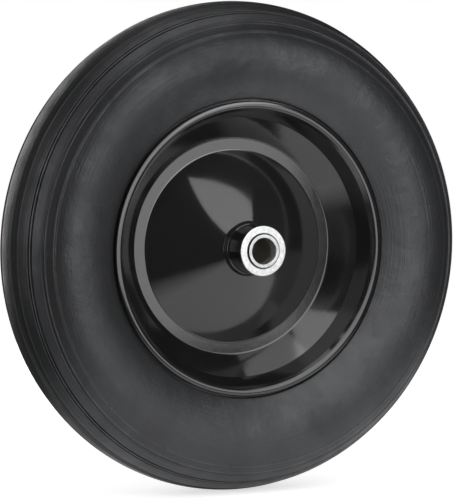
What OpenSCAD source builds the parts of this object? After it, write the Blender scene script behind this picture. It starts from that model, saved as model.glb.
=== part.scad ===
// Wheelbarrow wheel: a solid foam tyre on a pressed steel rim made of two half shells.
// The half shells meet in the wheel's middle plane and are welded to a hub tube, and
// a flanged ball bearing is pressed into each end of the tube.
// The axle runs along Y. The front faces -Y, and the origin is the wheel's centre.

/* [Tyre] */
// Outside diameter over the tread
tyre_d = 380; // [374:1:396]
// Width over the widest line of the two sidewalls
tyre_w = 89; // [86:1:94]
// Height of the crown above the widest line
crown_h = 40; // [37:1:43]
// How far below its end at the lip the ellipse of the lower sidewall would close
lower_over = 15.1; // [12:0.1:20]
// Depth that the tyre reaches into the well of the rim, from the shoulder
bead_depth = 9.6; // [7:0.1:11]
// Gap between the tyre and the rim under it
tyre_gap = 0.3; // [0.2:0.1:0.5]
// Gap between the tyre and the edge of the rim's lip
lip_gap = 1.3; // [0.8:0.1:2]
// Rounding of the tyre's edge beside the lip
bead_round = 1.6; // [0.8:0.2:2.4]

/* [Tread] */
// Distance of the wide channel's middle from the crown line
channel_at = 12.2; // [11:0.2:13]
// Width of the wide channel
channel_w = 8; // [6:0.5:9]
// Depth of the wide channel
channel_depth = 1.8; // [1:0.1:2.5]
// Distance of the thin rib from the widest line, along the axle
thin_rib_in = 17.4; // [16:0.1:19]
// Width of the thin rib between its two grooves
thin_rib_w = 1; // [0.8:0.1:1.4]
// Width of each fine groove
fine_groove_w = 1.2; // [0.8:0.1:1.6]
// Depth of each fine groove
fine_groove_depth = 1.6; // [1:0.1:2.2]
// Distance of the shoulder groove from the widest line, along the axle
shoulder_groove_in = 9.5; // [8.5:0.1:11]
// Width of the shoulder groove
shoulder_groove_w = 1.8; // [1:0.1:2.2]
// Depth of the shoulder groove
shoulder_groove_depth = 1; // [0.6:0.1:1.4]
// Distance of the mould's parting line from the widest line, along the axle
parting_in = 4.3; // [3.5:0.1:5]
// Height of the parting line's ridge
parting_h = 0.4; // [0.3:0.1:0.8]
// Width of the parting line's ridge
parting_w = 1; // [0.6:0.1:1.6]

/* [Rim] */
// Thickness of the pressed sheet
sheet_t = 1.5; // [1.2:0.1:1.8]
// Radius at the outer end of the bead seat
seat_r = 106.2; // [104:0.1:110]
// Width over the crests of the two lips
rim_w = 68.4; // [66:0.2:70]
// Distance from the lip's crest to the outer end of the seat, along the axle
flange_w = 3.8; // [3.4:0.1:4.6]
// Slope of the flange's wall, from the middle plane
flange_slope = 52; // [48:1:56]
// Radius of the curled lip, on its outside
lip_round = 4; // [3.4:0.1:4.6]
// Angle that the lip is curled on past its crest
lip_roll = 42; // [34:1:60]
// Fall of the seat from its outer end to the shoulder
seat_fall = 5.6; // [4.6:0.1:6.6]
// Width of the seat along the axle
seat_w = 12.8; // [12:0.1:14]
// Slope of the wall of the well, from the middle plane
well_slope = 47.5; // [45:0.5:49]
// Width of the flat land, up to where the wall and the cone would meet it without roundings
foot_w = 10.85; // [9:0.05:13]
// Rounding between the land and the wall of the well
land_out_round = 10; // [8:0.1:12]
// Rounding between the land and the disc's cone
land_in_round = 8; // [6:0.5:12]
// Rounding between the wall of the well and the bead seat
shoulder_round = 3; // [2:0.5:5]
// Rounding between the bead seat and the flange
seat_round = 2.6; // [2.2:0.2:4]

/* [Hub] */
// Diameter of the hub tube
tube_d = 38; // [37:0.1:39]
// Wall of the hub tube
tube_t = 1.5; // [1.3:0.1:1.7]
// Length over the inner races of the two bearings
hub_length = 114; // [112:1:120]
// Distance from the middle plane to the edge of the hub collar
collar_at = 32; // [31:0.1:33]
// Length of the collar along the tube
collar_length = 2.7; // [2:0.1:3.4]
// Rounding between the collar and the disc
collar_round = 2; // [1.6:0.2:3]
// Length of the weld bead along the tube
bead_length = 2.6; // [2:0.1:3.2]
// Height that the face of the weld bead is bulged
bead_bulge = 0.45; // [0.2:0.05:0.6]
// Gap between the tube and each half shell
tube_gap = 0.05; // [0.03:0.01:0.08]

/* [Bearing] */
// Diameter of the bore for the axle
bore_d = 20; // [19.8:0.1:20.4]
// Wall of the inner race under the balls
race_wall = 1.44; // [1:0.02:1.8]
// Share of a ball's diameter that sits in the groove of the inner race
race_grip = 0.39; // [0.25:0.01:0.42]
// Distance that the inner race ends before the inner end of the shell
race_inset = 0.5; // [0.2:0.1:1]
// Distance that the inner race stands out of the flange's face
inner_race_proud = 1.5; // [1:0.1:2]
// Distance that the bearing's flange stands out over the tube
flange_over = 0.25; // [0:0.05:1]
// Thickness of the bearing's flange
flange_t = 1.2; // [1:0.1:1.4]
// Gap between the inner race and the hole of the flange
flange_gap = 0.36; // [0.3:0.02:0.44]
// Wall of the bearing shell
shell_t = 1; // [0.9:0.05:1.1]
// Wall of the outer race rings under the balls
ring_t = 0.8; // [0.7:0.05:0.9]
// Share of a ball's diameter that sits in the outer race rings
ring_grip = 0.3; // [0.2:0.01:0.36]
// Length of the outer rings beside the balls, on each side
ball_side = 1.6; // [1:0.1:2]
// Smallest gap between two balls
ball_spacing = 0.2; // [0.1:0.05:0.3]
// Gap between a ball and each raceway
ball_gap = 0.08; // [0.05:0.01:0.1]
// Gap that stands for a press fit between two rings
press_gap = 0.05; // [0.03:0.01:0.08]
// Chamfer at the ends of the bore
bore_chamfer = 0.5; // [0.3:0.1:0.7]
// Rounding of the outer edges of the flange and the inner race
edge_round = 0.4; // [0.2:0.1:0.5]

/* [Hidden] */

// Round faces of large, middle and small parts
fn_tyre = 128;
fn_rim = 128;
fn_hub = 72;
fn_ball = 24;
// Largest turn between two points of a rounded corner
arc_step = 10;
// Turn between two points of the tyre's outline
tyre_step = 5;
// Segments of the lower sidewall's line, and of half a raceway's arc
side_steps = 8;
race_steps = 6;
// How far a cutter stands out of what it cuts
cut_over = 1;
// Share of a groove's top width that its bottom keeps
groove_taper = 0.6;
// Largest share of its shorter leg that a rounding may take
leg_share = 0.98;

// Tyre
widest_r = tyre_d / 2 - crown_h;
half_w = tyre_w / 2;
thin_rib_at = half_w - thin_rib_in;
shoulder_groove_at = half_w - shoulder_groove_in;
parting_at = half_w - parting_in;

// Rim, as radius and distance from the middle plane
collar_r = tube_d / 2 + tube_gap + sheet_t;
cone_top_at = collar_at - collar_length;
crest_at = rim_w / 2;
seat_at = crest_at - flange_w;
// Length of the flange's straight wall, from the seat to where the lip's arc begins
flange_l = (flange_w - lip_round * (1 - cos(flange_slope))) / sin(flange_slope);
lip_centre = [
    seat_r + flange_l * cos(flange_slope) + lip_round * sin(flange_slope),
    crest_at - lip_round
];
lip_edge_r = lip_centre[0] + lip_round * sin(lip_roll);
shoulder_r = seat_r - seat_fall;
shoulder_at = seat_at - seat_w;
well_foot_r = shoulder_r - (shoulder_at - sheet_t) / tan(well_slope);
cone_foot_r = well_foot_r - foot_w;

// Bearing, as radius and distance from the middle plane
bore_r = bore_d / 2;
tube_in_r = tube_d / 2 - tube_t;
shell_r = tube_in_r - press_gap;
shell_in_r = shell_r - shell_t;
ring_r = shell_in_r - press_gap;
// The balls fill the room that the walls leave between the axle and the tube
ball_d = ring_r - ring_t - 2 * ball_gap - race_wall - bore_r;
raceway_r = ball_d / 2 + ball_gap;
ball_circle_r = bore_r + race_wall + raceway_r;
ball_count = floor(180 / asin((ball_d + ball_spacing) / 2 / ball_circle_r));
inner_race_r = bore_r + race_wall + race_grip * ball_d;
ring_in_r = ring_r - ring_t - ring_grip * ball_d;
flange_face_at = hub_length / 2 - inner_race_proud;
tube_end_at = flange_face_at - flange_t;
ring_high_at = tube_end_at - press_gap;
ring_low_at = ring_high_at - ball_d - 2 * ball_side;
ball_at = (ring_low_at + ring_high_at) / 2;
shell_end_at = ring_low_at - press_gap - shell_t;
inner_race_low_at = shell_end_at + race_inset;

function unit(v) = v / norm(v);
function right_of(v) = [v[1], -v[0]];
function reversed(p) = [for (i = [len(p) - 1 : -1 : 0]) p[i]];

// Points of the arc that rounds the corner b between a and c. Its radius is limited by its legs.
function corner(a, b, c, r) =
    let (
        u = unit(a - b),
        w = unit(c - b),
        half = acos(u * w) / 2,
        room = leg_share * min(norm(a - b), norm(c - b)) * tan(half),
        fit_r = min(r, room),
        mid = b + unit(u + w) * fit_r / sin(half),
        from = b + u * fit_r / tan(half) - mid,
        to = b + w * fit_r / tan(half) - mid,
        start = atan2(from[1], from[0]),
        raw = atan2(to[1], to[0]) - start,
        sweep = raw > 180 ? raw - 360 : raw < -180 ? raw + 360 : raw
    )
    arc(mid, fit_r, start, start + sweep);

// An open line of points, each given as [radius, distance from the middle plane, rounding]
function rounded(p) = [
    [p[0][0], p[0][1]],
    for (i = [1 : len(p) - 2])
        each p[i][2] > 0
            ? corner([p[i - 1][0], p[i - 1][1]], [p[i][0], p[i][1]], [p[i + 1][0], p[i + 1][1]], p[i][2])
            : [[p[i][0], p[i][1]]],
    [p[len(p) - 1][0], p[len(p) - 1][1]]
];

// Points of an arc about mid, from one angle to another
function arc(mid, r, from, to) =
    let (n = max(2, ceil(abs(to - from) / arc_step)))
    [for (i = [0 : n]) mid + r * [cos(from + (to - from) * i / n), sin(from + (to - from) * i / n)]];

// The same line moved by d to its right-hand side
function shifted(p, d) = [
    for (i = [0 : len(p) - 1])
        let (
            a = right_of(unit(p[max(i, 1)] - p[max(i, 1) - 1])),
            b = right_of(unit(p[min(i, len(p) - 2) + 1] - p[min(i, len(p) - 2)])),
            n = unit(a + b)
        )
        p[i] + n * d / (n * a)
];

// Second coordinate of the line's last crossing of the radius r
function crossing(p, r) =
    let (at = [
        for (i = [1 : len(p) - 1])
            if (p[i - 1][0] <= r && p[i][0] > r)
                p[i - 1][1] + (p[i][1] - p[i - 1][1]) * (r - p[i - 1][0]) / (p[i][0] - p[i - 1][0])
    ])
    at[len(at) - 1];

// Visible face of a half shell, from the collar's edge over disc, land, well and seat to the lip
lip_arc = arc(lip_centre, lip_round, 90 + flange_slope, 90 - lip_roll);
shell_face = concat(rounded([
    [collar_r, collar_at],
    [collar_r, cone_top_at, collar_round],
    [cone_foot_r, sheet_t, land_in_round],
    [well_foot_r, sheet_t, land_out_round],
    [shoulder_r, shoulder_at, shoulder_round],
    [seat_r, seat_at, seat_round],
    lip_arc[0]
]), [for (i = [1 : len(lip_arc) - 1]) lip_arc[i]]);

// Radius of the tread's surface at a distance from the crown line, and its outward direction
function tread_r(at) = widest_r + crown_h * sqrt(1 - pow(at / half_w, 2));
function tread_angle(at) = atan2(at / pow(half_w, 2), (tread_r(at) - widest_r) / pow(crown_h, 2));

// Half of the tyre's outline, from the crown line to the inside
notch_r = lip_edge_r + lip_gap;
lower_h = widest_r - notch_r + lower_over;
notch_turn = asin((widest_r - notch_r) / lower_h);
tyre_inside_r = shoulder_r - bead_depth;
seat_back = shifted(shell_face, sheet_t + tyre_gap);
// Distance from the middle plane where the back of the well's wall reaches the tyre's inside
inside_at = crossing(seat_back, tyre_inside_r);
under_rim = [
    for (p = seat_back)
        if (p[0] > tyre_inside_r && p[0] < seat_r + sheet_t + tyre_gap && p[1] < seat_at) p
];
toe_at = under_rim[len(under_rim) - 1][1];
function on_tread(at, rise) =
    [tread_r(at), at] + rise * [cos(tread_angle(at)), sin(tread_angle(at))];
ridge_low = parting_at - parting_w / 2;
ridge_high = parting_at + parting_w / 2;
upper_side = concat(
    [
        for (a = [0 : tyre_step : 90])
            if (half_w * sin(a) < ridge_low) [widest_r + crown_h * cos(a), half_w * sin(a)]
    ],
    [on_tread(ridge_low, 0), on_tread(parting_at, parting_h), on_tread(ridge_high, 0)],
    [
        for (a = [0 : tyre_step : 90])
            if (half_w * sin(a) > ridge_high) [widest_r + crown_h * cos(a), half_w * sin(a)]
    ]
);
lower_side = [
    for (i = [1 : side_steps])
        let (a = notch_turn * i / side_steps)
        [widest_r - lower_h * sin(a), half_w * cos(a)]
];
side_end = lower_side[len(lower_side) - 1];
bead_edge = corner(lower_side[len(lower_side) - 2], side_end, [notch_r, toe_at], bead_round);
half_tyre = concat(
    upper_side,
    [for (i = [0 : len(lower_side) - 2]) lower_side[i]],
    bead_edge,
    [[notch_r, toe_at]],
    reversed(under_rim),
    [[tyre_inside_r, inside_at]]
);

// Turns an outline of radius and distance from the middle plane about the axle
module turned(fn) {
    rotate([90, 0, 0])
        rotate_extrude($fn = fn)
            children();
}

module back_side() {
    mirror([0, 1, 0])
        children();
}

// Cutter of a groove round the tread
module groove(at, w, depth) {
    translate([tread_r(at), at])
        rotate(tread_angle(at))
            polygon([
                [-depth, -w / 2 * groove_taper],
                [cut_over, -w / 2],
                [cut_over, w / 2],
                [-depth, w / 2 * groove_taper]
            ]);
}

module tread_grooves() {
    groove(channel_at, channel_w, channel_depth);
    for (side = [-1, 1])
        groove(thin_rib_at + side * (thin_rib_w + fine_groove_w) / 2, fine_groove_w, fine_groove_depth);
    groove(shoulder_groove_at, shoulder_groove_w, shoulder_groove_depth);
}

module tyre() {
    color([0.13, 0.13, 0.14])
        turned(fn_tyre)
            difference() {
                polygon(concat(half_tyre, [for (p = reversed(half_tyre)) if (p[1] > 0) [p[0], -p[1]]]));
                for (side = [0, 1])
                    mirror([0, side])
                        tread_grooves();
            }
}

module rim_shell() {
    color([0.06, 0.06, 0.065])
        turned(fn_rim)
            polygon(concat(shell_face, reversed(shifted(shell_face, sheet_t))));
}

module hub_tube() {
    color([0.06, 0.06, 0.065])
        rotate([90, 0, 0])
            difference() {
                cylinder(r = tube_d / 2, h = 2 * tube_end_at, center = true, $fn = fn_hub);
                cylinder(r = tube_in_r, h = 2 * (tube_end_at + cut_over), center = true, $fn = fn_hub);
            }
}

// Fillet weld between the collar's edge and the tube, with a bulged face
module weld_bead() {
    foot = [collar_r, collar_at];
    tip = [tube_d / 2 + tube_gap, collar_at + bead_length];
    bulge = (foot + tip) / 2 + unit(right_of(tip - foot)) * bead_bulge;
    color([0.06, 0.06, 0.065])
        turned(fn_hub)
            polygon(concat([[tip[0], foot[1]], foot], corner(foot, bulge, tip, bead_length), [tip]));
}

// Flange and sleeve of a bearing, crimped inwards at its inner end
module bearing_shell() {
    hole_r = inner_race_r + flange_gap;
    flange_r = tube_d / 2 + flange_over;
    color([0.86, 0.87, 0.88])
        turned(fn_hub)
            polygon(concat(
                [[hole_r, tube_end_at], [hole_r, flange_face_at]],
                corner([hole_r, flange_face_at], [flange_r, flange_face_at], [flange_r, tube_end_at], edge_round),
                [[flange_r, tube_end_at], [shell_r, tube_end_at]],
                corner([shell_r, tube_end_at], [shell_r, shell_end_at], [ring_in_r, shell_end_at], shell_t),
                [[ring_in_r, shell_end_at], [ring_in_r, shell_end_at + shell_t]],
                [[shell_in_r, shell_end_at + shell_t], [shell_in_r, tube_end_at]]
            ));
}

// Half of the raceway arc in a ring outside the balls, from the ring's inner edge to its middle
function outer_raceway() =
    let (rise = asin((ring_in_r - ball_circle_r) / raceway_r))
    [for (i = [0 : race_steps])
        let (a = rise + (90 - rise) * i / race_steps)
        [ball_circle_r + raceway_r * sin(a), ball_at + raceway_r * cos(a)]];

module outboard_ring() {
    color([0.62, 0.63, 0.65])
        turned(fn_hub)
            polygon(concat(
                [[ring_r, ball_at], [ring_r, ring_high_at], [ring_in_r, ring_high_at]],
                outer_raceway()
            ));
}

module inboard_ring() {
    color([0.62, 0.63, 0.65])
        turned(fn_hub)
            polygon(concat(
                [[ring_r, ball_at], [ring_r, ring_low_at], [ring_in_r, ring_low_at]],
                [for (p = outer_raceway()) [p[0], 2 * ball_at - p[1]]]
            ));
}

module inner_race() {
    high_at = hub_length / 2;
    reach = acos((ball_circle_r - inner_race_r) / raceway_r);
    raceway = [
        for (i = [-race_steps : race_steps])
            let (a = -reach * i / race_steps)
            [ball_circle_r - raceway_r * cos(a), ball_at + raceway_r * sin(a)]
    ];
    color([0.8, 0.81, 0.83])
        turned(fn_hub)
            polygon(concat(
                [[bore_r + bore_chamfer, high_at]],
                corner([bore_r + bore_chamfer, high_at], [inner_race_r, high_at], [inner_race_r, ball_at], edge_round),
                raceway,
                [[inner_race_r, inner_race_low_at], [bore_r + bore_chamfer, inner_race_low_at]],
                [[bore_r, inner_race_low_at + bore_chamfer], [bore_r, high_at - bore_chamfer]]
            ));
}

module balls() {
    color([0.75, 0.76, 0.78])
        for (i = [0 : ball_count - 1])
            rotate([0, 360 * i / ball_count, 0])
                translate([ball_circle_r, -ball_at, 0])
                    sphere(d = ball_d, $fn = fn_ball);
}

tyre();
rim_shell();  // rim_front_shell
back_side() rim_shell();  // rim_back_shell
hub_tube();
weld_bead();  // front_weld_bead
back_side() weld_bead();  // back_weld_bead
bearing_shell();  // front_bearing_shell
outboard_ring();  // front_outboard_ring
inboard_ring();  // front_inboard_ring
inner_race();  // front_inner_race
balls();  // front_balls
back_side() bearing_shell();  // back_bearing_shell
back_side() outboard_ring();  // back_outboard_ring
back_side() inboard_ring();  // back_inboard_ring
back_side() inner_race();  // back_inner_race
back_side() balls();  // back_balls
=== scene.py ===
import math

import bpy
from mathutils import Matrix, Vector


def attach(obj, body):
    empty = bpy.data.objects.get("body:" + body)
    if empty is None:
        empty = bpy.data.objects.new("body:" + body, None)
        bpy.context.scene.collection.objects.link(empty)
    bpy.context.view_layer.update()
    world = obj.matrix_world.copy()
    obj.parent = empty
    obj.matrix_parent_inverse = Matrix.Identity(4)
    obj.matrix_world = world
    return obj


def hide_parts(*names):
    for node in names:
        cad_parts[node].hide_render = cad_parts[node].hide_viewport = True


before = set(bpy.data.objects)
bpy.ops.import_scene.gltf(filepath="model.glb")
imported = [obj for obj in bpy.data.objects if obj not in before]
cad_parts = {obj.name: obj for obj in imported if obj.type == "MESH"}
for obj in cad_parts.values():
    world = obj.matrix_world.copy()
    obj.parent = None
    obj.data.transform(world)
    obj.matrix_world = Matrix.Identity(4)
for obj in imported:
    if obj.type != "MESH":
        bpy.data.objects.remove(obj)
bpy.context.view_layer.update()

# Sizes of the part, in millimetres
MM = 0.001
TYRE_D, TYRE_W, CROWN_H, LOWER_OVER = 380, 89, 40, 15.1
BEAD_DEPTH, TYRE_GAP, LIP_GAP, BEAD_ROUND = 9.6, 0.3, 1.3, 1.6
CHANNEL = (12.2, 8, 1.8)
THIN_RIB_AT, THIN_RIB_W, FINE_GROOVE_W, FINE_GROOVE_DEPTH = 27.1, 1, 1.2, 1.6
SHOULDER_GROOVE = (35, 1.8, 1)
PARTING_AT, PARTING_H, PARTING_W = 40.2, 0.4, 1
SHEET_T, SEAT_R, RIM_W, FLANGE_W = 1.5, 106.2, 68.4, 3.8
FLANGE_SLOPE, LIP_ROUND, LIP_ROLL = 52, 4, 42
SEAT_FALL, SEAT_W, WELL_SLOPE, FOOT_W = 5.6, 12.8, 47.5, 10.85
LAND_OUT_ROUND, LAND_IN_ROUND, SHOULDER_ROUND, SEAT_ROUND = 2, 3, 1.2, 1.2
LAND_EDGE_R = 84.3
CREST_ROUND, CREST_HALF, LIP_INNER_ROUND = 9, 1.9, 2
TUBE_D, TUBE_T, TUBE_GAP = 38, 1.5, 0.05
COLLAR_AT, COLLAR_LENGTH, COLLAR_ROUND, BEAD_LENGTH, BEAD_BULGE = 32, 2.7, 2, 2.6, 0.45
HUB_LENGTH, RACE_PROUD, FLANGE_T, FLANGE_OVER, FLANGE_GAP = 114, 1.5, 1.2, 0.25, 0.36
BORE_D, INNER_RACE_R, BORE_CHAMFER, EDGE_ROUND = 20, 13, 0.5, 0.4
BALL_CIRCLE_R, RACEWAY_R, BALL_AT = 13.52, 2.08, 50.65
SHELL_R, SHELL_IN_R, SHELL_END, RING_IN_R, RACE_LOW = 17.45, 16.45, 46, 14.4, 46.5

WIDEST_R, HALF_W = TYRE_D / 2 - CROWN_H, TYRE_W / 2
CREST_AT = RIM_W / 2
SEAT_AT = CREST_AT - FLANGE_W
SLOPE_SIN, SLOPE_COS = math.sin(math.radians(FLANGE_SLOPE)), math.cos(math.radians(FLANGE_SLOPE))
FLANGE_L = (FLANGE_W - LIP_ROUND * (1 - SLOPE_COS)) / SLOPE_SIN
LIP_CENTRE = (SEAT_R + FLANGE_L * SLOPE_COS + LIP_ROUND * SLOPE_SIN, CREST_AT - LIP_ROUND)
LIP_EDGE_R = LIP_CENTRE[0] + LIP_ROUND * math.sin(math.radians(LIP_ROLL))
SHOULDER_R, SHOULDER_AT = SEAT_R - SEAT_FALL, SEAT_AT - SEAT_W
WELL_FOOT_R = SHOULDER_R - (SHOULDER_AT - SHEET_T) / math.tan(math.radians(WELL_SLOPE))
CONE_FOOT_R = WELL_FOOT_R - FOOT_W
COLLAR_R = TUBE_D / 2 + TUBE_GAP + SHEET_T
FLANGE_FACE = HUB_LENGTH / 2 - RACE_PROUD
TUBE_END = FLANGE_FACE - FLANGE_T

# Painted highlight lines along the tread's edges: distance from the middle plane and width
EDGE_HIGHLIGHT_LINES = ((8, 0.7), (16.7, 0.9), (25.6, 1.2), (27.1, 0.8), (36.3, 0.9), (40.2, 0.7))

# Distance of the extra points that hold a rounding's shading to its own width
HOLD = 0.25

# Segments round the axle, which keep each piece under 200,000 triangles
TYRE_SEGMENTS, RIM_SEGMENTS, HUB_SEGMENTS = 248, 384, 192

# Flash nubs on each side: how many, their size in metres, and the first one's angle in degrees
NUB_COUNT, NUB_SIZE, NUB_FIRST = 18, 0.0006, 3


# ---- Outlines, as points of radius and distance from the middle plane ----

def corner(a, b, c, r, step=4):
    """Points of the arc that rounds the corner b, with a holding point on each leg."""
    a, b, c = Vector(a), Vector(b), Vector(c)
    u, w = (a - b).normalized(), (c - b).normalized()
    half = u.angle(w) / 2
    r = min(r, 0.98 * min((a - b).length, (c - b).length) * math.tan(half))
    reach = r / math.tan(half)
    mid = b + (u + w).normalized() * r / math.sin(half)
    start, end = b + u * reach - mid, b + w * reach - mid
    first = math.atan2(start.y, start.x)
    sweep = (math.atan2(end.y, end.x) - first + math.pi) % (2 * math.pi) - math.pi
    n = max(3, math.ceil(math.degrees(abs(sweep)) / step))
    made = [mid + r * Vector((math.cos(first + sweep * i / n), math.sin(first + sweep * i / n)))
            for i in range(n + 1)]
    before = [b + u * (reach + HOLD)] if (a - b).length > reach + 2 * HOLD else []
    after = [b + w * (reach + HOLD)] if (c - b).length > reach + 2 * HOLD else []
    return [tuple(p) for p in before + made + after]


def rounded(points, step=4):
    """An open line of (radius, distance, rounding), with its corners rounded."""
    made = [points[0][:2]]
    for a, b, c in zip(points, points[1:], points[2:]):
        made += corner(a[:2], b[:2], c[:2], b[2], step) if b[2] else [b[:2]]
    return made + [points[-1][:2]]


def shifted(points, d):
    """The same line moved by d to its right-hand side."""
    p = [Vector(q) for q in points]
    made = []
    for i, q in enumerate(p):
        a = (p[max(i, 1)] - p[max(i, 1) - 1]).normalized()
        b = (p[min(i, len(p) - 2) + 1] - p[min(i, len(p) - 2)]).normalized()
        a, b = Vector((a.y, -a.x)), Vector((b.y, -b.x))
        n = (a + b).normalized()
        made.append(tuple(q + n * d / n.dot(a)))
    return made


def shell_line():
    """Visible face of a half shell, from the collar's edge to the lip's edge."""
    crest_r = LIP_CENTRE[0]
    sag = CREST_HALF ** 2 / (2 * CREST_ROUND)
    wall = (SEAT_R + FLANGE_L * SLOPE_COS, SEAT_AT + FLANGE_L * SLOPE_SIN)
    edge = (LIP_EDGE_R, LIP_CENTRE[1] + LIP_ROUND * math.cos(math.radians(LIP_ROLL)))
    crest = [(crest_r + CREST_HALF * i / 6, CREST_AT - sag * (i / 6) ** 2) for i in range(-6, 7)]
    return rounded([
        (COLLAR_R, COLLAR_AT),
        (COLLAR_R, COLLAR_AT - COLLAR_LENGTH, COLLAR_ROUND),
        (CONE_FOOT_R, SHEET_T, LAND_IN_ROUND),
        (LAND_EDGE_R, SHEET_T, LAND_OUT_ROUND),
        (SHOULDER_R, SHOULDER_AT, SHOULDER_ROUND),
        (SEAT_R, SEAT_AT, SEAT_ROUND),
        (wall[0] + 0.15, wall[1] + 0.25, LIP_INNER_ROUND),
        crest[0],
    ], 2)[:-1] + crest + [edge]


def shell_outline():
    face = shell_line()
    return face + shifted(face, SHEET_T)[::-1]


def tread_r(at):
    return WIDEST_R + CROWN_H * math.sqrt(1 - (at / HALF_W) ** 2)


def on_tread(at, rise=0):
    """A point over the tread's surface, and the surface's direction there."""
    n = Vector(((tread_r(at) - WIDEST_R) / CROWN_H ** 2, at / HALF_W ** 2)).normalized()
    return Vector((tread_r(at), at)) + rise * n


def groove_line(at, width, depth):
    """Four rounded points across a groove of the tread, from the crown outwards."""
    n = (on_tread(at, 1) - on_tread(at)).normalized()
    t = Vector((-n.y, n.x))
    mid = on_tread(at) - n * depth
    low = [mid - t * width * 0.3, mid + t * width * 0.3]
    a, d = on_tread(at - width / 2), on_tread(at + width / 2)
    r = min(0.3, width / 6)
    before, after = on_tread(at - width / 2 - 0.6), on_tread(at + width / 2 + 0.6)
    line = [before, a, low[0], low[1], d, after]
    made = []
    for p, q, s in zip(line, line[1:], line[2:]):
        made += [Vector(v) for v in corner(p, q, s, r, 20)]
    return [tuple(v) for v in made]


def tread_line():
    """Half of the tread, from the crown line to the widest line."""
    grooves = [CHANNEL]
    side = (THIN_RIB_W + FINE_GROOVE_W) / 2
    grooves += [(THIN_RIB_AT - side, FINE_GROOVE_W, FINE_GROOVE_DEPTH),
                (THIN_RIB_AT + side, FINE_GROOVE_W, FINE_GROOVE_DEPTH), SHOULDER_GROOVE]
    spans = [(at - w / 2 - 0.3, at + w / 2 + 0.3, groove_line(at, w, d)) for at, w, d in grooves]
    low, high = PARTING_AT - PARTING_W / 2, PARTING_AT + PARTING_W / 2
    ridge = [on_tread(low - 0.3), on_tread(low), on_tread(PARTING_AT - 0.12, PARTING_H),
             on_tread(PARTING_AT + 0.12, PARTING_H), on_tread(high), on_tread(high + 0.3)]
    spans.append((low - 0.4, high + 0.4, [tuple(v) for v in ridge]))
    made = []
    steps = 60
    for i in range(steps + 1):
        a = math.radians(90) * i / steps
        at = HALF_W * math.sin(a)
        while spans and at > spans[0][0]:
            made += spans.pop(0)[2]
        if not made or at > made[-1][1] + 0.15:
            made.append((WIDEST_R + CROWN_H * math.cos(a), at))
    return made


def tyre_outline():
    notch_r = LIP_EDGE_R + LIP_GAP
    lower_h = WIDEST_R - notch_r + LOWER_OVER
    turn = math.asin((WIDEST_R - notch_r) / lower_h)
    inside_r = SHOULDER_R - BEAD_DEPTH
    back = shifted(shell_line(), SHEET_T + TYRE_GAP)
    inside_at = [q[1] + (p[1] - q[1]) * (inside_r - q[0]) / (p[0] - q[0])
                 for q, p in zip(back, back[1:]) if q[0] <= inside_r < p[0]][-1]
    under = [p for p in back if inside_r < p[0] < SEAT_R + SHEET_T + TYRE_GAP and p[1] < SEAT_AT]
    steps = 24
    lower = [(WIDEST_R - lower_h * math.sin(turn * i / steps), HALF_W * math.cos(turn * i / steps))
             for i in range(1, steps + 1)]
    toe = (notch_r, under[-1][1])
    half = (tread_line() + lower[:-2] + corner(lower[-3], lower[-1], toe, BEAD_ROUND, 12)
            + [toe] + under[::-1] + [(inside_r, inside_at)])
    return half + [(r, -at) for r, at in reversed(half) if at > 0]


def weld_outline():
    foot = Vector((COLLAR_R, COLLAR_AT))
    tip = Vector((TUBE_D / 2 + TUBE_GAP, COLLAR_AT + BEAD_LENGTH))
    along = (tip - foot).normalized()
    bulge = (foot + tip) / 2 + Vector((along.y, -along.x)) * BEAD_BULGE
    return [(tip.x, foot.y), tuple(foot)] + corner(foot, bulge, tip, BEAD_LENGTH, 3) + [tuple(tip)]


def tube_outline():
    r, r_in = TUBE_D / 2, TUBE_D / 2 - TUBE_T
    return [(r_in, -TUBE_END), (r, -TUBE_END), (r, TUBE_END), (r_in, TUBE_END)]


def bearing_shell_outline():
    hole_r, flange_r = INNER_RACE_R + FLANGE_GAP, TUBE_D / 2 + FLANGE_OVER
    return ([(hole_r, TUBE_END)]
            + corner((hole_r, TUBE_END), (hole_r, FLANGE_FACE), (flange_r, FLANGE_FACE), 0.15, 20)
            + corner((hole_r, FLANGE_FACE), (flange_r, FLANGE_FACE), (flange_r, TUBE_END), EDGE_ROUND, 10)
            + [(flange_r, TUBE_END), (SHELL_R, TUBE_END)]
            + corner((SHELL_R, TUBE_END), (SHELL_R, SHELL_END), (RING_IN_R, SHELL_END), 1, 10)
            + [(RING_IN_R, SHELL_END), (RING_IN_R, SHELL_END + 1),
               (SHELL_IN_R, SHELL_END + 1), (SHELL_IN_R, TUBE_END)])


def inner_race_outline():
    high, bore_r = HUB_LENGTH / 2, BORE_D / 2
    reach = math.acos((BALL_CIRCLE_R - INNER_RACE_R) / RACEWAY_R)
    raceway = [(BALL_CIRCLE_R - RACEWAY_R * math.cos(reach * i / 10),
                BALL_AT - RACEWAY_R * math.sin(reach * i / 10)) for i in range(-10, 11)]
    return ([(bore_r + BORE_CHAMFER, high)]
            + corner((bore_r, high), (INNER_RACE_R, high), (INNER_RACE_R, BALL_AT), EDGE_ROUND, 10)
            + raceway
            + [(INNER_RACE_R, RACE_LOW), (bore_r + BORE_CHAMFER, RACE_LOW),
               (bore_r, RACE_LOW + BORE_CHAMFER), (bore_r, high - BORE_CHAMFER)])


# ---- Node helpers ----

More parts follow.
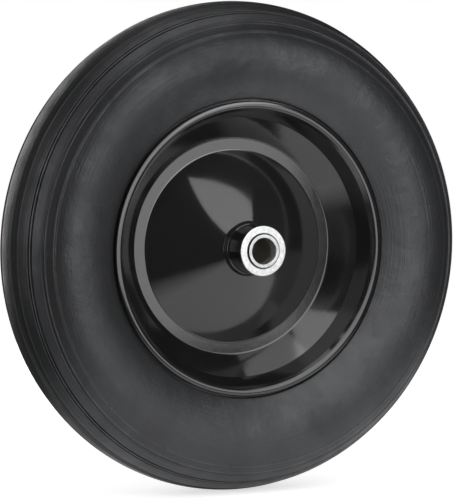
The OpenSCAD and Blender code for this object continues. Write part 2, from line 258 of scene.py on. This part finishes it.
class Graph:
    """A node tree with short ways to add and join nodes."""

    def __init__(self, tree):
        self.tree = tree

    def add(self, kind, inputs=None, **settings):
        node = self.tree.nodes.new(kind)
        for key, value in settings.items():
            setattr(node, key, value)
        for key, value in (inputs or {}).items():
            if isinstance(value, bpy.types.NodeSocket):
                self.tree.links.new(value, node.inputs[key])
            else:
                node.inputs[key].default_value = value
        return node

    def math(self, operation, a, b=0.0, c=0.0):
        node = self.add("ShaderNodeMath", operation=operation)
        for socket, value in zip(node.inputs, (a, b, c)):
            if isinstance(value, bpy.types.NodeSocket):
                self.tree.links.new(value, socket)
            else:
                socket.default_value = value
        return node.outputs[0]

    def noise(self, vector, scale, detail=2.0, roughness=0.5):
        node = self.add("ShaderNodeTexNoise", {"Vector": vector, "Scale": scale, "Detail": detail,
                                               "Roughness": roughness})
        return node.outputs["Fac"]

    def ramp(self, value, low, high, to_low=0.0, to_high=1.0):
        node = self.add("ShaderNodeMapRange", {"Value": value, "From Min": low, "From Max": high,
                                               "To Min": to_low, "To Max": to_high})
        return node.outputs["Result"]

    def blend(self, fac, a, b):
        node = self.add("ShaderNodeMix", data_type="RGBA")
        for socket, value in ((node.inputs[0], fac), (node.inputs[6], a), (node.inputs[7], b)):
            if isinstance(value, bpy.types.NodeSocket):
                self.tree.links.new(value, socket)
            else:
                socket.default_value = value
        return node.outputs[2]

    def bump(self, height, distance):
        inputs = {"Height": height, "Distance": distance, "Strength": 1.0}
        return self.add("ShaderNodeBump", inputs).outputs["Normal"]


def new_material(name):
    mat = bpy.data.materials.new(name)
    mat.use_nodes = True
    g = Graph(mat.node_tree)
    shader = mat.node_tree.nodes["Principled BSDF"]
    place = g.add("ShaderNodeTexCoord").outputs["Object"]
    return mat, g, shader, place


def join(g, shader, **sockets):
    names = {"color": "Base Color", "roughness": "Roughness", "normal": "Normal", "metallic": "Metallic"}
    for key, value in sockets.items():
        socket = shader.inputs[names.get(key, key)]
        if isinstance(value, bpy.types.NodeSocket):
            g.tree.links.new(value, socket)
        else:
            socket.default_value = value


def polar(g, place):
    """Radius from the axle, and the place along it."""
    xyz = g.add("ShaderNodeSeparateXYZ", {"Vector": place}).outputs
    radius = g.math("SQRT", g.math("ADD", g.math("MULTIPLY", xyz["X"], xyz["X"]),
                                   g.math("MULTIPLY", xyz["Z"], xyz["Z"])))
    return radius, xyz["Y"]


# ---- Materials ----

def black_paint():
    """Gloss black stove enamel with a faint orange peel and a few specks, and the tube's bare bore."""
    mat, g, shader, place = new_material("black_paint")
    tone = g.ramp(g.noise(place, 35, 3), 0.3, 0.7, 0, 1)
    color = g.blend(tone, (0.0075, 0.0075, 0.0077, 1), (0.0105, 0.0105, 0.0108, 1))
    radius = polar(g, place)[0]
    color = g.blend(g.ramp(radius, 0.0182, 0.0178), color, (0.33, 0.31, 0.27, 1))
    peel = g.noise(place, 210, 1, 0.4)
    waves = g.noise(place, 45, 1, 0.3)
    specks = g.ramp(g.noise(place, 900, 0, 0), 0.83, 0.86)
    height = g.math("ADD", g.math("MULTIPLY", peel, 0.1), g.math("MULTIPLY", waves, 0.4))
    height = g.math("ADD", height, g.math("MULTIPLY", specks, 0.6))
    join(g, shader, color=color, normal=g.bump(height, 0.00009),
         roughness=g.ramp(g.noise(place, 18, 3), 0.3, 0.7, 0.085, 0.12))
    shader.inputs["Specular IOR Level"].default_value = 1.0
    return mat


def tyre_foam():
    """Waxy charcoal skin of moulded foam, mottled and streaked round, with painted highlight lines along its
    tread's edges and a painted bluish sheen on one rib.
    """
    mat, g, shader, place = new_material("tyre_foam")
    radius, along = polar(g, place)
    off = g.math("ABSOLUTE", along)
    cloud = g.ramp(g.noise(place, 30, 5, 0.7), 0.38, 0.62)
    patch = g.ramp(g.noise(place, 11, 2, 0.5), 0.42, 0.58)
    rings = g.noise(g.add("ShaderNodeCombineXYZ", {"X": radius, "Y": along}).outputs[0], 620, 3, 0.6)
    streaks = g.math("MULTIPLY", g.ramp(rings, 0.3, 0.7), patch)
    grain = g.ramp(g.noise(place, 420, 3, 0.6), 0.3, 0.7)
    tone = g.math("ADD", g.math("MULTIPLY", cloud, 0.4), g.math("MULTIPLY", grain, 0.25))
    tone = g.math("ADD", tone, g.math("MULTIPLY", streaks, 0.35))
    color = g.blend(tone, (0.0060, 0.0062, 0.0065, 1), (0.0230, 0.0234, 0.0252, 1))
    tread = g.ramp(radius, 0.153, 0.156)
    # Painted highlights: light lines along the tread's groove edges and parting line
    edge_highlight = 0.0
    for at, width in EDGE_HIGHLIGHT_LINES:
        away = g.math("ABSOLUTE", g.math("SUBTRACT", off, at * MM))
        line = g.ramp(away, width * MM / 4, width * MM / 2, 1, 0)
        edge_highlight = g.math("MAXIMUM", edge_highlight, line)
    edge_highlight = g.math("MULTIPLY", g.math("MULTIPLY", edge_highlight, tread), g.ramp(cloud, 0, 1, 0.35, 1))
    color = g.blend(edge_highlight, color, (0.075, 0.075, 0.078, 1))
    # Painted sheen: the rib from 28.5 to 33.8 mm off the middle is painted a lighter bluish grey
    rib = g.math("MULTIPLY", g.ramp(off, 0.0285, 0.0290), g.ramp(off, 0.0338, 0.0334))
    rib_sheen = g.math("MULTIPLY", g.math("MULTIPLY", rib, tread), g.ramp(patch, 0, 1, 0.3, 1))
    color = g.blend(rib_sheen, color, (0.034, 0.034, 0.042, 1))
    height = g.math("ADD", g.math("MULTIPLY", g.noise(place, 800, 2, 0.6), 0.2),
                    g.noise(place, 70, 3, 0.5))
    height = g.math("ADD", height, g.math("MULTIPLY", streaks, 0.25))
    join(g, shader, color=color, normal=g.bump(height, 0.0007),
         roughness=g.ramp(g.math("ADD", g.math("MULTIPLY", cloud, 0.6), g.math("MULTIPLY", streaks, 0.4)),
                          0, 1, 0.52, 0.31))
    shader.inputs["Specular IOR Level"].default_value = 0.9
    shader.inputs["Specular Tint"].default_value = (0.95, 0.965, 1.0, 1)
    return mat


def zinc_plate():
    """Bright zinc on the pressed bearing shell, faintly turned, with painted shade round its hole."""
    mat, g, shader, place = new_material("zinc_plate")
    radius, along = polar(g, place)
    lines = g.noise(g.add("ShaderNodeCombineXYZ", {"X": radius, "Y": along}).outputs[0], 2600, 2)
    tone = g.ramp(g.noise(place, 420, 4, 0.7), 0.35, 0.65)
    plate = g.blend(tone, (0.60, 0.61, 0.615, 1), (0.72, 0.725, 0.73, 1))
    # Painted shade: the flange's face is painted dark towards its hole, by the gap round the inner race
    hole_shade = g.ramp(radius, 0.0142, 0.0137)
    join(g, shader, color=g.blend(hole_shade, plate, (0.10, 0.10, 0.10, 1)), metallic=1.0,
         roughness=g.ramp(g.noise(place, 300, 2), 0.3, 0.7, 0.20, 0.28), normal=g.bump(lines, 0.00001))
    return mat


def race_steel():
    """Turned steel of the inner race, with a brown film of oil in the bore and painted shade on its outside
    face.
    """
    mat, g, shader, place = new_material("race_steel")
    radius, along = polar(g, place)
    lines = g.noise(g.add("ShaderNodeCombineXYZ", {"X": radius, "Y": along}).outputs[0], 1800, 2)
    bore = g.ramp(radius, 0.0104, 0.0101)
    film = g.math("MULTIPLY", bore, g.ramp(g.noise(place, 120, 3), 0.2, 0.8, 0.75, 1.0))
    tone = g.ramp(g.noise(place, 200, 3), 0.3, 0.7)
    bright = g.blend(tone, (0.56, 0.56, 0.565, 1), (0.70, 0.70, 0.70, 1))
    # Painted shade: the race's outside face, by the gap under the shell's flange, is painted dark grey
    bright = g.blend(g.ramp(radius, 0.01262, 0.01282), bright, (0.07, 0.07, 0.07, 1))
    join(g, shader, color=g.blend(film, bright, (0.16, 0.15, 0.135, 1)),
         metallic=g.math("SUBTRACT", 1.0, g.math("MULTIPLY", film, 0.75)),
         roughness=g.ramp(g.noise(place, 260, 2), 0.3, 0.7, 0.22, 0.34), normal=g.bump(lines, 0.00001))
    return mat


def bearing_steel():
    """Ground steel of the balls and the rings behind the flange, under a film of grease."""
    mat, g, shader, place = new_material("bearing_steel")
    tone = g.ramp(g.noise(place, 500, 2), 0.3, 0.7)
    join(g, shader, color=g.blend(tone, (0.42, 0.41, 0.38, 1), (0.55, 0.54, 0.51, 1)), metallic=1.0,
         roughness=g.ramp(g.noise(place, 350, 2), 0.3, 0.7, 0.18, 0.3))
    return mat


# ---- Trees ----

def turn_tree():
    """Turns an outline about the axle. The outline lies in the XY plane, less the radius."""
    tree = bpy.data.node_groups.new("Turn about the axle", "GeometryNodeTree")
    face = tree.interface
    face.new_socket("Outline", in_out="INPUT", socket_type="NodeSocketGeometry")
    keys = {}
    for name, kind in (("Segments", "NodeSocketInt"), ("Radius", "NodeSocketFloat"),
                       ("Sharp angle", "NodeSocketFloat"), ("Material", "NodeSocketMaterial")):
        keys[name] = face.new_socket(name, in_out="INPUT", socket_type=kind).identifier
    face.new_socket("Geometry", in_out="OUTPUT", socket_type="NodeSocketGeometry")
    g = Graph(tree)
    i = g.add("NodeGroupInput").outputs
    profile = g.add("GeometryNodeMeshToCurve", {"Mesh": i["Outline"]}).outputs[0]
    circle = g.add("GeometryNodeCurvePrimitiveCircle", {"Resolution": i["Segments"], "Radius": i["Radius"]})
    swept = g.add("GeometryNodeCurveToMesh", {"Curve": circle.outputs["Curve"], "Profile Curve": profile})
    upright = g.add("GeometryNodeTransform", {"Geometry": swept.outputs[0], "Rotation": (math.pi / 2, 0, 0)})
    smooth = g.add("GeometryNodeSetShadeSmooth", {0: upright.outputs[0]})
    edge = g.add("GeometryNodeInputMeshEdgeAngle").outputs["Unsigned Angle"]
    sharp = g.add("FunctionNodeCompare", {0: edge, 1: i["Sharp angle"]}, operation="GREATER_THAN").outputs[0]
    split = g.add("GeometryNodeSetShadeSmooth", {0: smooth.outputs[0], "Selection": sharp,
                                                 "Shade Smooth": False}, domain="EDGE")
    real = g.add("GeometryNodeRealizeInstances", {0: split.outputs[0]})
    dressed = g.add("GeometryNodeSetMaterial", {"Geometry": real.outputs[0], "Material": i["Material"]})
    g.add("NodeGroupOutput", {"Geometry": dressed.outputs[0]})
    return tree, keys


def nub_tree():
    """Small flash nubs left by the mould round a ring, each a little different."""
    tree = bpy.data.node_groups.new("Flash nubs", "GeometryNodeTree")
    face = tree.interface
    face.new_socket("Geometry", in_out="INPUT", socket_type="NodeSocketGeometry")
    keys = {}
    for name, kind in (("Count", "NodeSocketInt"), ("Radius", "NodeSocketFloat"), ("Along", "NodeSocketFloat"),
                       ("First", "NodeSocketFloat"), ("Size", "NodeSocketFloat"), ("Seed", "NodeSocketInt"),
                       ("Material", "NodeSocketMaterial")):
        keys[name] = face.new_socket(name, in_out="INPUT", socket_type=kind).identifier
    face.new_socket("Geometry", in_out="OUTPUT", socket_type="NodeSocketGeometry")
    g = Graph(tree)
    i = g.add("NodeGroupInput").outputs
    ring = g.add("GeometryNodeCurvePrimitiveCircle", {"Resolution": i["Count"], "Radius": i["Radius"]})
    points = g.add("GeometryNodeCurveToPoints", {0: ring.outputs["Curve"]}, mode="EVALUATED")
    nub = g.add("GeometryNodeMeshIcoSphere", {"Radius": i["Size"], "Subdivisions": 3}).outputs[0]
    size = g.add("FunctionNodeRandomValue", {0: (0.7, 0.5, 0.7), 1: (1.3, 2.4, 1.2), "Seed": i["Seed"]},
                 data_type="FLOAT_VECTOR").outputs[0]
    put = g.add("GeometryNodeInstanceOnPoints", {"Points": points.outputs[0], "Instance": nub,
                                                 "Rotation": points.outputs["Rotation"], "Scale": size})
    spin = g.add("ShaderNodeCombineXYZ", {"Z": i["First"]}).outputs[0]
    turned = g.add("GeometryNodeTransform", {"Geometry": put.outputs[0], "Rotation": spin})
    place = g.add("ShaderNodeCombineXYZ", {"Y": i["Along"]}).outputs[0]
    upright = g.add("GeometryNodeTransform", {"Geometry": turned.outputs[0], "Rotation": (math.pi / 2, 0, 0),
                                              "Translation": place})
    real = g.add("GeometryNodeRealizeInstances", {0: upright.outputs[0]})
    smooth = g.add("GeometryNodeSetShadeSmooth", {0: real.outputs[0]})
    dressed = g.add("GeometryNodeSetMaterial", {"Geometry": smooth.outputs[0], "Material": i["Material"]})
    g.add("NodeGroupOutput", {"Geometry": dressed.outputs[0]})
    return tree, keys


TURN, TURN_KEYS = turn_tree()
NUBS, NUB_KEYS = nub_tree()
PAINT, FOAM, ZINC, RACE, STEEL = black_paint(), tyre_foam(), zinc_plate(), race_steel(), bearing_steel()


def settle(name, mesh, tree, keys, values):
    """Runs a tree on a mesh and keeps the plain mesh that comes out."""
    source = bpy.data.objects.new(name + "_source", mesh)
    bpy.context.scene.collection.objects.link(source)
    run = source.modifiers.new("run", "NODES")
    run.node_group = tree
    for key, value in values.items():
        run[keys[key]] = value
    made = bpy.data.meshes.new_from_object(source.evaluated_get(bpy.context.evaluated_depsgraph_get()))
    bpy.data.objects.remove(source)
    made.name = name
    piece = bpy.data.objects.new(name, made)
    bpy.context.scene.collection.objects.link(piece)
    return piece


def turned(name, outline, segments, material, front=True, sharp=35):
    """A solid of revolution about the axle. front puts positive distances at -Y."""
    side = -1 if front else 1
    points = [(r * MM, side * at * MM) for r, at in outline]
    area = sum(p[0] * q[1] - q[0] * p[1] for p, q in zip(points, points[1:] + points[:1]))
    if area < 0:
        points.reverse()
    base = points[0][0]
    mesh = bpy.data.meshes.new(name + "_outline")
    mesh.from_pydata([(r - base, y, 0) for r, y in points],
                     [(i, (i + 1) % len(points)) for i in range(len(points))], [])
    return settle(name, mesh, TURN, TURN_KEYS, {"Segments": segments, "Radius": base,
                                                "Sharp angle": math.radians(sharp), "Material": material})


def dress(piece, body, slot, *nodes):
    if nodes:
        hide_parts(*nodes)
    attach(piece, body)


# ---- The wheel ----

def make_tyre():
    tyre = turned("tyre_skin", tyre_outline(), TYRE_SEGMENTS, FOAM, sharp=50)
    dress(tyre, "wheel", "tyre_foam", "tyre")
    for side, label in ((-1, "front"), (1, "back")):
        nubs = settle(label + "_flash_nubs", bpy.data.meshes.new("empty"), NUBS, NUB_KEYS, {
            "Count": NUB_COUNT, "Radius": tread_r(PARTING_AT) * MM, "Along": side * PARTING_AT * MM,
            "First": math.radians(NUB_FIRST), "Size": NUB_SIZE, "Seed": 7 + side, "Material": FOAM})
        dress(nubs, "wheel", "tyre_foam")


def make_rim():
    for label, front in (("front", True), ("back", False)):
        shell = turned(f"{label}_half_shell", shell_outline(), RIM_SEGMENTS, PAINT, front)
        dress(shell, "wheel", "black_paint", f"rim_{label}_shell")
        weld = turned(f"{label}_weld", weld_outline(), HUB_SEGMENTS, PAINT, front, 60)
        dress(weld, "wheel", "black_paint", f"{label}_weld_bead")
    tube = turned("hub_tube_turned", tube_outline(), HUB_SEGMENTS, PAINT)
    dress(tube, "wheel", "black_paint", "hub_tube")


def make_bearings():
    for label, front in (("front", True), ("back", False)):
        shell = turned(f"{label}_flanged_shell", bearing_shell_outline(), HUB_SEGMENTS, ZINC, front)
        dress(shell, "wheel", "zinc_plate", f"{label}_bearing_shell")
        race = turned(f"{label}_race", inner_race_outline(), HUB_SEGMENTS, RACE, front)
        dress(race, "inner_races", "race_steel", f"{label}_inner_race")
        for part in ("outboard_ring", "inboard_ring", "balls"):
            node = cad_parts[f"{label}_{part}"]
            node.data.materials.clear()
            node.data.materials.append(STEEL)


make_tyre()
make_rim()
make_bearings()


# ---- Studio ----

FLOOR_Z = -0.1902
VIEW_AZIMUTH, VIEW_ELEVATION, VIEW_DISTANCE = -26.23, 4.42, 2.8
VIEW_LENS, VIEW_SHIFT = 259.53, (-0.0085, -0.0079)
CLOTH_FADE = 0.18


def direction(azimuth, elevation):
    a, e = math.radians(azimuth), math.radians(elevation)
    return Vector((math.sin(a) * math.cos(e), -math.cos(a) * math.cos(e), math.sin(e)))


def ray_kind(g, *kinds):
    """1 for the camera's and the named kinds of ray, 0 for all others."""
    path = g.add("ShaderNodeLightPath").outputs
    made = path["Is Camera Ray"]
    for kind in kinds:
        made = g.math("MAXIMUM", made, path[kind])
    return made


def make_floor():
    bpy.ops.mesh.primitive_plane_add(size=12, location=(0, 0, FLOOR_Z))
    floor = bpy.context.object
    floor.name = "floor"
    mat = bpy.data.materials.new("floor")
    mat.use_nodes = True
    g = Graph(mat.node_tree)
    out = mat.node_tree.nodes["Material Output"]
    mat.node_tree.nodes.remove(mat.node_tree.nodes["Principled BSDF"])
    matte = g.add("ShaderNodeBsdfDiffuse", {"Color": (0.8, 0.8, 0.8, 1)}).outputs[0]
    glossy = g.add("ShaderNodeLightPath").outputs["Is Glossy Ray"]
    glow = g.add("ShaderNodeEmission", {"Color": (1, 1, 1, 1),
                                        "Strength": g.math("MULTIPLY_ADD", glossy, -0.36, 0.64)}).outputs[0]
    both = g.add("ShaderNodeAddShader", {0: matte, 1: glow}).outputs[0]
    seen = ray_kind(g, "Is Glossy Ray", "Is Transmission Ray")
    pick = g.add("ShaderNodeMixShader", {0: seen, 1: matte, 2: both}).outputs[0]
    g.tree.links.new(pick, out.inputs["Surface"])
    floor.data.materials.append(mat)


def make_world():
    world = bpy.data.worlds.new("studio")
    bpy.context.scene.world = world
    world.use_nodes = True
    g = Graph(world.node_tree)
    back = world.node_tree.nodes["Background"]
    seen = ray_kind(g, "Is Glossy Ray", "Is Transmission Ray")
    back.inputs["Color"].default_value = (1, 1, 1, 1)
    g.tree.links.new(g.math("MULTIPLY_ADD", seen, 0.55, 0.45), back.inputs["Strength"])


def area_light(name, place, target, width, height, radiance, roll=0.0):
    light = bpy.data.lights.new(name, "AREA")
    light.shape = "RECTANGLE"
    light.size, light.size_y = width, height
    light.energy = radiance * math.pi * width * height
    lamp = bpy.data.objects.new(name, light)
    bpy.context.scene.collection.objects.link(lamp)
    turn = (Vector(place) - Vector(target)).to_track_quat("Z", "Y")
    lamp.rotation_euler = turn.to_euler()
    lamp.rotation_euler.rotate_axis("Z", math.radians(roll))
    lamp.location = place
    lamp.visible_camera = False


def make_flag(name, centre, low, high, near, far):
    """A cloth round the wheel that only reflections see, from one radius and height to another.

    Its light runs from near, at its inner edge, to far, 0.18 m farther out."""
    steps = 96
    points, faces = [], []
    for i in range(steps):
        d = direction(360 * i / steps, 0)
        points += [(centre[0] + d.x * r, centre[1] + d.y * r, z) for r, z in (low, high)]
        a, b = 2 * i, 2 * (i + 1) % (2 * steps)
        faces.append((a, b, b + 1, a + 1))
    mesh = bpy.data.meshes.new(name)
    mesh.from_pydata(points, [], faces)
    flag = bpy.data.objects.new(name, mesh)
    bpy.context.scene.collection.objects.link(flag)
    mat = bpy.data.materials.new(name)
    mat.use_nodes = True
    g = Graph(mat.node_tree)
    mat.node_tree.nodes.remove(mat.node_tree.nodes["Principled BSDF"])
    place = g.add("ShaderNodeTexCoord").outputs["Object"]
    reach = g.add("ShaderNodeVectorMath", {0: place, 1: (*centre, low[1])},
                  operation="DISTANCE").outputs["Value"]
    light = g.ramp(reach, low[0], low[0] + CLOTH_FADE, near, far)
    glow = g.add("ShaderNodeEmission", {"Color": (1, 1, 1, 1), "Strength": light}).outputs[0]
    g.tree.links.new(glow, mat.node_tree.nodes["Material Output"].inputs["Surface"])
    mesh.materials.append(mat)
    flag.visible_camera = flag.visible_diffuse = flag.visible_shadow = False
    flag.visible_transmission = flag.visible_volume_scatter = False


def make_lights():
    box = direction(13.8, 26.1) * 0.253
    area_light("key", box, box - direction(-59.7, 50.5), 0.23, 0.285, 1.65, -47.9)
    area_light("card", direction(11.5, 12.5), (0, 0, 0), 0.70, 0.86, 1.8)
    area_light("left_strip", direction(-82, 12), (0, 0, 0), 0.35, 0.8, 1.6)
    area_light("back_card", direction(187, 10), (0, 0, 0), 1.1, 0.86, 1.3)
    make_flag("table_cloth", (0.12, -0.15), (0.25, -0.1895), (3.2, -0.1895), 0.9, 0.05)
    make_flag("curtain", (0, 0), (3.2, -0.1895), (2.0, 4.2), 0.05, 0.05)


def make_camera():
    cam = bpy.data.cameras.new("camera")
    eye = bpy.data.objects.new("camera", cam)
    bpy.context.scene.collection.objects.link(eye)
    d = direction(VIEW_AZIMUTH, VIEW_ELEVATION)
    eye.location = d * VIEW_DISTANCE
    eye.rotation_euler = d.to_track_quat("Z", "Y").to_euler()
    cam.sensor_width = 36
    cam.sensor_fit = "AUTO"
    cam.lens = VIEW_LENS
    cam.shift_x, cam.shift_y = VIEW_SHIFT
    cam.clip_start, cam.clip_end = 0.05, 60
    bpy.context.scene.camera = eye


make_floor()
make_world()
make_lights()
make_camera()
bpy.context.scene.view_settings.view_transform = "Standard"
